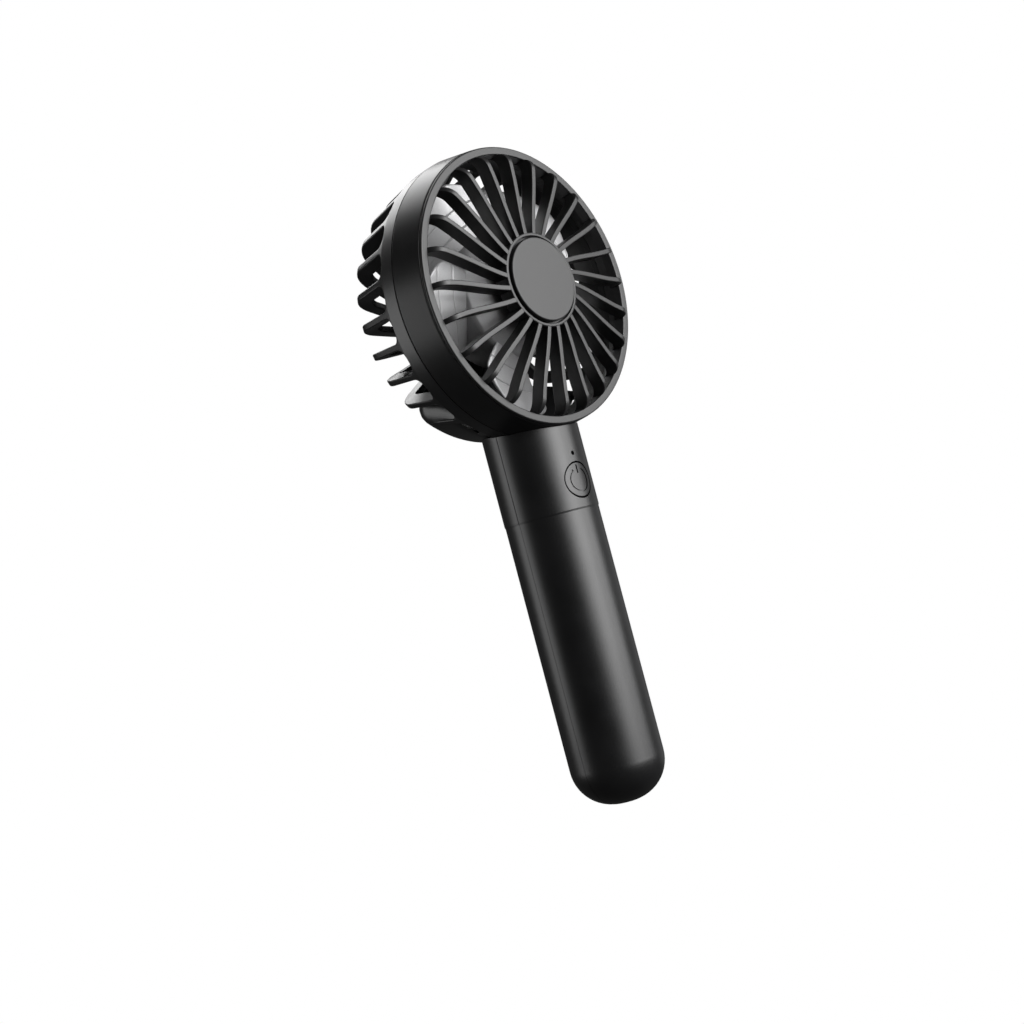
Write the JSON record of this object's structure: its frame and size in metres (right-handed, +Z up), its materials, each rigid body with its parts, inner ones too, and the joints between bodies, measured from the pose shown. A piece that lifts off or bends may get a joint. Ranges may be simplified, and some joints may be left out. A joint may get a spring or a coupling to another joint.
{
  "type": "handheld electric fan",
  "caption": "Small battery hand fan: round caged head with pinwheel grilles and a five-blade impeller on a round handle with a push button.",
  "frame": {"origin": "on the handle's axis, at the middle of the grip", "axes": "+Z up the handle towards the head, -Y the way the air blows, +X to the right seen from the front"},
  "size_m": [0.093, 0.0446, 0.2115],
  "materials": {
    "shell_black": "satin black ABS",
    "grille_grey": "satin charcoal ABS",
    "blade_silver": "glossy silver-grey plastic",
    "steel": "bright steel",
    "magnet": "bonded ferrite",
    "copper": "enamelled copper wire",
    "board": "green solder mask",
    "chip": "black moulded component",
    "white_plastic": "white nylon",
    "lens": "clear acrylic",
    "cell_wrap": "heat-shrink sleeve",
    "cradle_plastic": "natural grey nylon",
    "lead_red": "silicone wire"
  },
  "bodies": {
    "frame": {"front_grille": "grille_grey", "hub_badge": "grille_grey", "front_band": "shell_black", "rear_grille": "shell_black", "rear_cap": "shell_black", "motor_base": "steel", "front_bearing": "steel", "rear_bearing": "steel", "stator_core": "steel", "stator_windings": "copper", "motor_pcb": "board", "motor_screws": "steel", "motor_leads": "lead_red", "neck_bracket": "shell_black", "neck_screws": "steel", "handle_front_shell": "shell_black", "handle_rear_shell": "shell_black", "handle_screws": "steel", "tactile_switch": "chip", "main_pcb": "board", "pcb_screws": "steel", "control_chips": "chip", "power_inductor": "chip", "wire_connectors": "white_plastic", "status_led": "white_plastic", "light_pipe": "lens", "battery_cell": "cell_wrap", "battery_tabs": "steel", "battery_cradle": "cradle_plastic", "battery_leads": "lead_red", "charge_pcb": "board", "charge_leads": "chip", "usb_c_receptacle": "steel"},
    "rotor": {"impeller": "blade_silver", "rotor_bell": "steel", "magnet_ring": "magnet", "motor_shaft": "steel", "retaining_ring": "steel"},
    "button": {"power_button": "shell_black"},
    "plunger": {"switch_plunger": "lead_red"}
  },
  "joints": [
    {"name": "impeller_spin", "type": "hinge", "parent": "frame", "child": "rotor", "pos_m": [0, 0.002, 0.112], "axis": [0, 1, 0], "continuous": true},
    {"name": "button_press", "type": "slide", "parent": "frame", "child": "button", "axis": [0, 1, 0], "range_m": [0, 0.0005], "stiffness_N_per_m": 400, "springref_m": -0.0005},
    {"name": "plunger_press", "type": "slide", "parent": "frame", "child": "plunger", "axis": [0, 1, 0], "range_m": [0, 0.0005]}
  ],
  "couplings": [
    {"joint": "plunger_press", "follows": "button_press", "ratio": 1}
  ]
}
